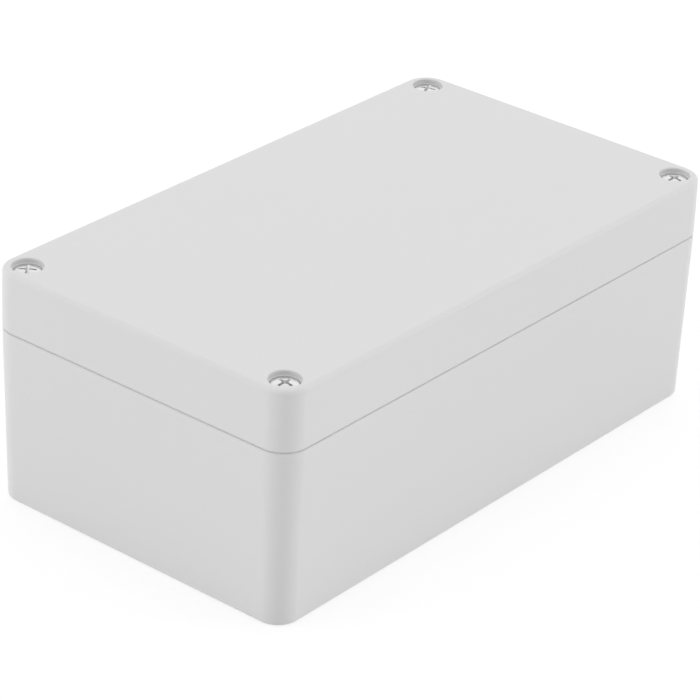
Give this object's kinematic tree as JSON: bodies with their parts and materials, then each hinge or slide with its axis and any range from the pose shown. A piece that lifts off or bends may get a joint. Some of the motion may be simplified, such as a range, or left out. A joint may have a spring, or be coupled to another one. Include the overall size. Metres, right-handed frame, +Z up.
{
  "type": "plastic project box",
  "caption": "Plain light-grey plastic project box with round upright corners, a shallow screwed lid and a deep base, for housing electronics.",
  "frame": {"origin": "middle of the underside, on the surface that the box rests on", "axes": "+X along the box's length, +Y across its width, +Z up through the lid"},
  "size_m": [0.158, 0.09, 0.06],
  "materials": {
    "grey_abs": "satin, fine moulded texture",
    "black_rubber": "matte",
    "bright_screw": "bright nickel-plated steel"
  },
  "bodies": {
    "root": {"base": "grey_abs", "lid": "grey_abs", "gasket": "black_rubber", "lid_screws": "bright_screw"}
  },
  "joints": []
}
